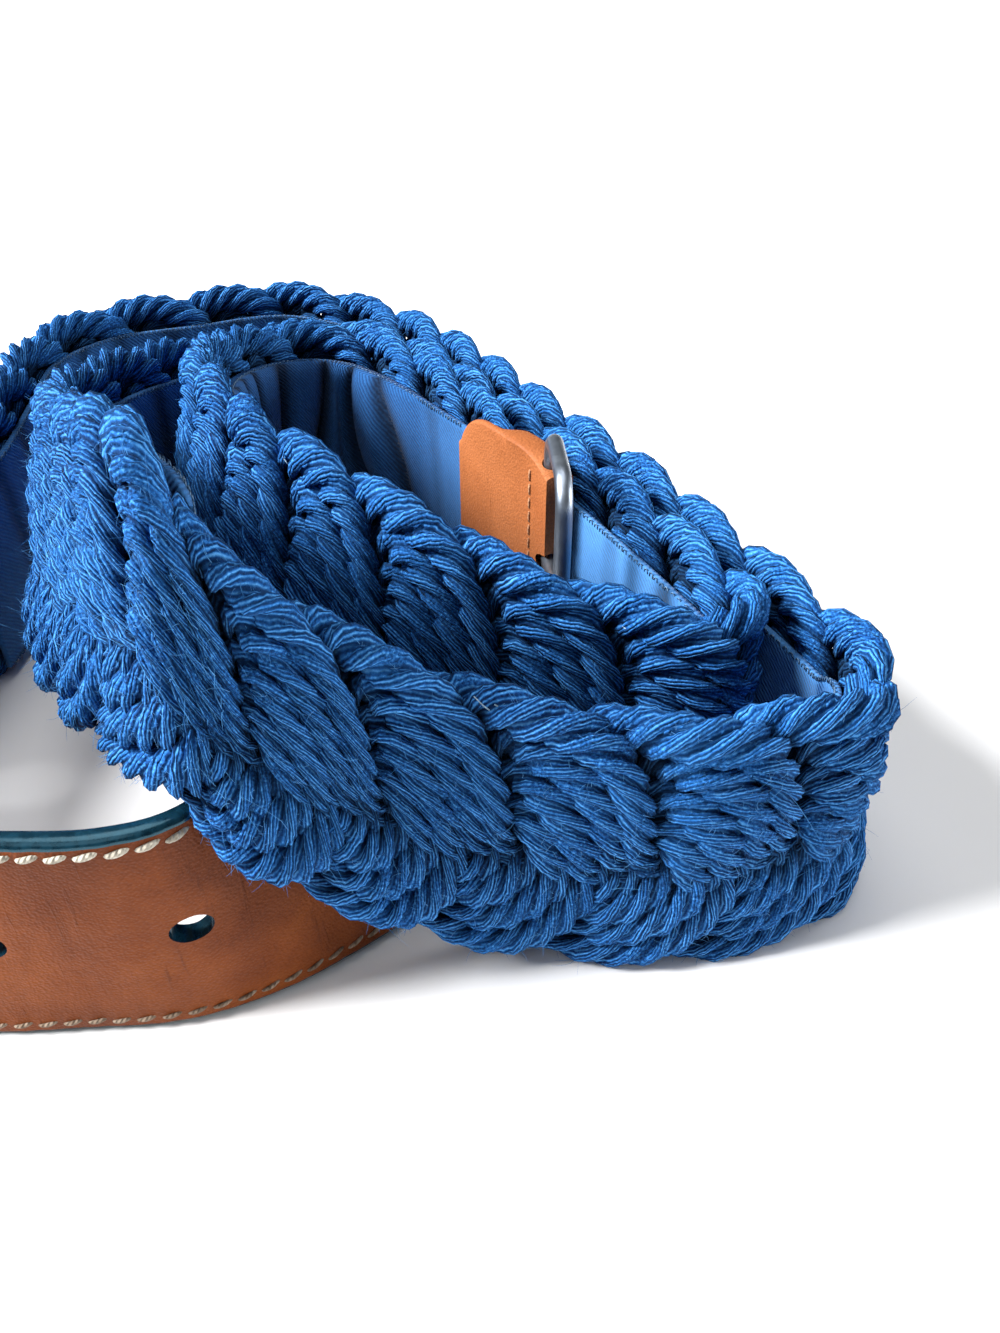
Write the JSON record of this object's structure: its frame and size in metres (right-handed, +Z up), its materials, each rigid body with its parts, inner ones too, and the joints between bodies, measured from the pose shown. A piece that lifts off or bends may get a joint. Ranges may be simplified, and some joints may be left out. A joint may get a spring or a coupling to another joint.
{
  "type": "plaited fabric belt",
  "caption": "Wide plaited fabric belt with a twill lining and a holed leather billet strap, coiled up and standing on its edge, with a leather end tab and a plain frame buckle.",
  "frame": {"origin": "centre of the bounding box in plan, on the surface that the belt stands on", "axes": "+Z up across the belt's width; the holed strap lies in the foreground towards -Y and runs along +X to its tip"},
  "size_m": [0.1708, 0.1946, 0.0822],
  "materials": {
    "plaited_rope": "soft twisted cotton rope",
    "twill": "brushed cotton twill",
    "strap_leather": "fine pebbled, half-gloss",
    "tab_leather": "smooth, half-gloss",
    "buckle_metal": "polished"
  },
  "bodies": {
    "root": {"braided_band": "plaited_rope", "twill_lining": "twill", "holed_strap": "strap_leather", "buckle_tab": "tab_leather", "buckle": "buckle_metal"}
  },
  "joints": []
}
